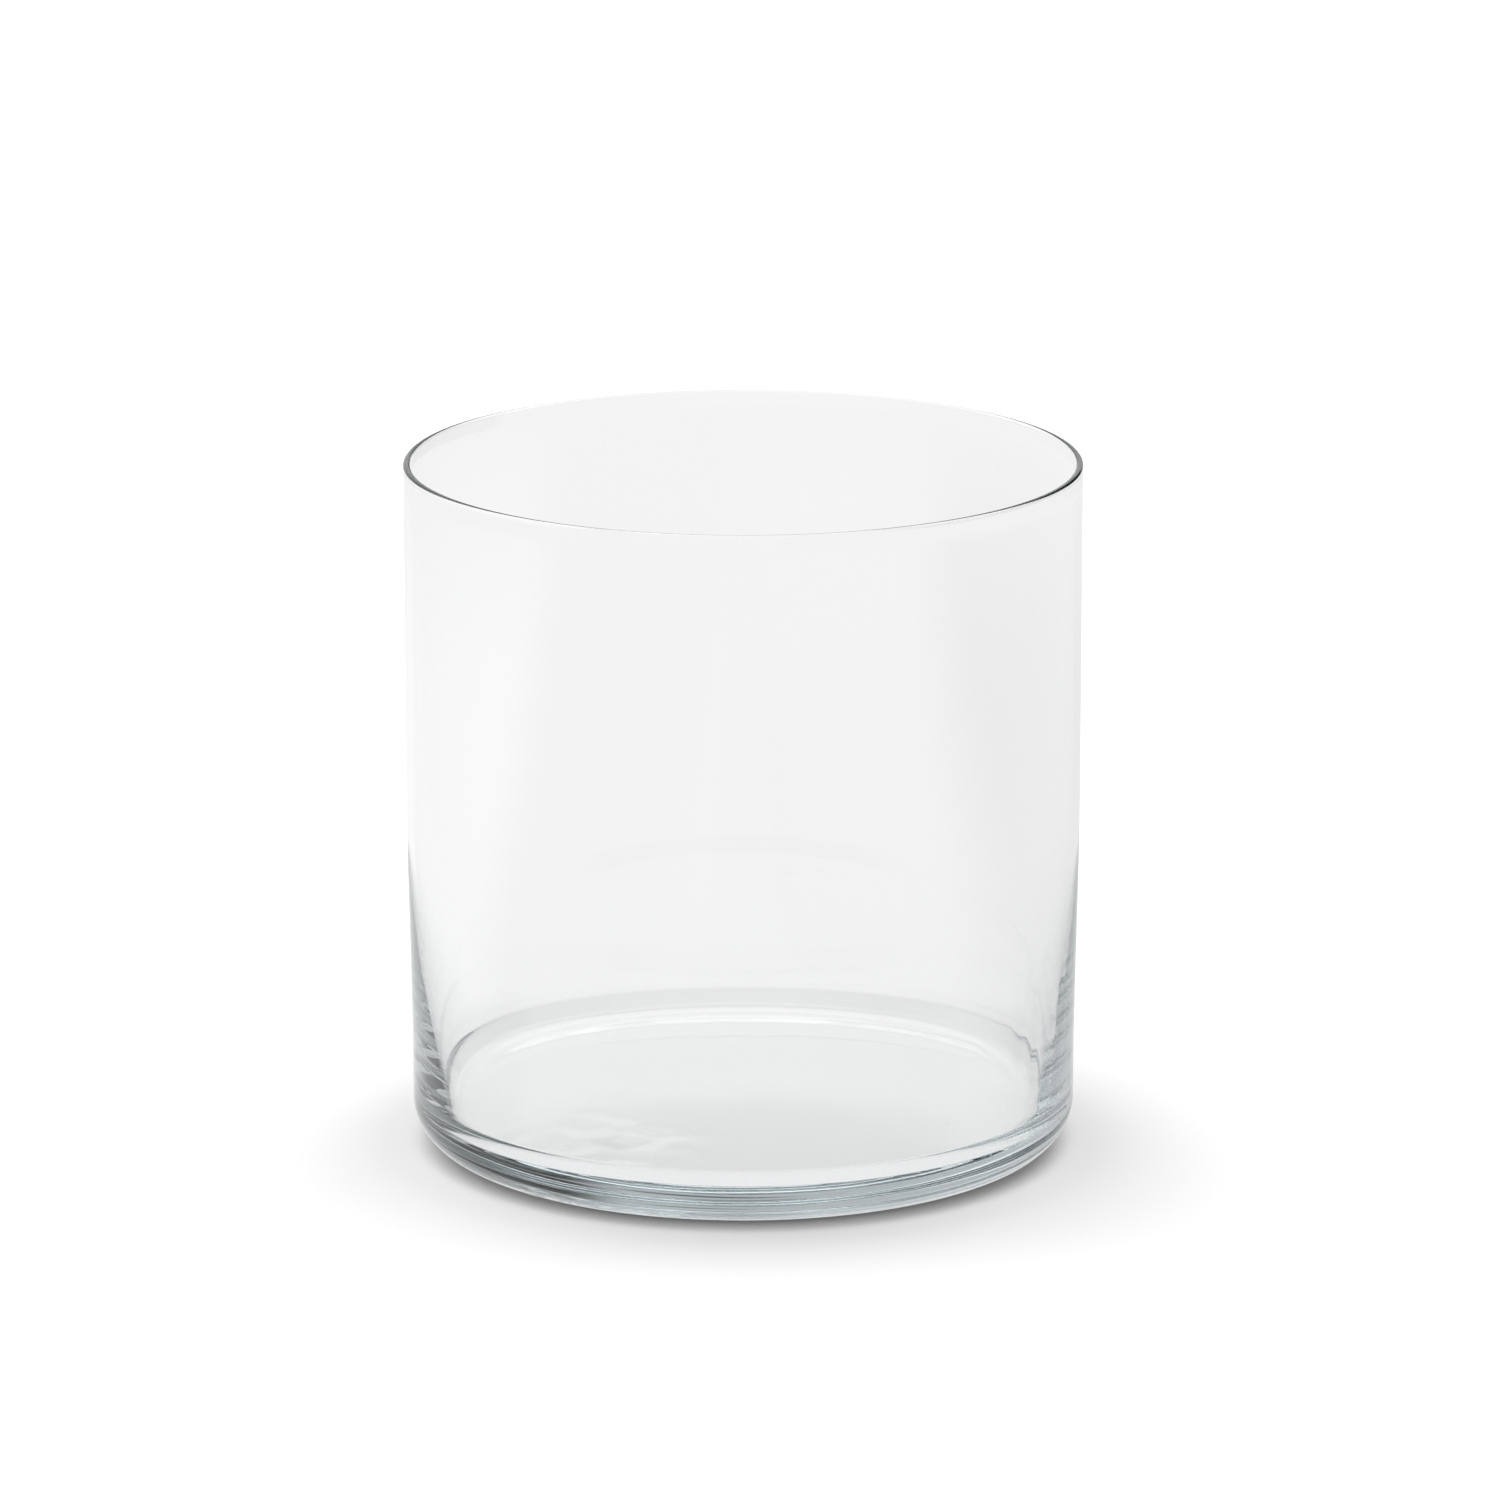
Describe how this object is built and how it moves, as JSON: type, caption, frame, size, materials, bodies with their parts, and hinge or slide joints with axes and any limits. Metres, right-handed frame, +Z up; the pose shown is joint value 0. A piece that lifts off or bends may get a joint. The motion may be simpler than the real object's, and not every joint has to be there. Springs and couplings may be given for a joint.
{
  "type": "glass cylinder vase",
  "caption": "Clear glass cylinder vase, about as wide as it is tall, with a thin straight wall, a thick base with a rounded heel and a fire-polished rim.",
  "frame": {"origin": "centre of the standing ring, on the plane that the vase stands on", "axes": "+Z up along the axis of the vase, out of the mouth; the vase is round, so +X and +Y are free"},
  "size_m": [0.1902, 0.1902, 0.1965],
  "materials": {
    "clear_glass": "clear, fire-polished blown glass, colourless in the thin wall and faintly blue-green in the thick heel"
  },
  "bodies": {
    "root": {"glass_body": "clear_glass"}
  },
  "joints": []
}
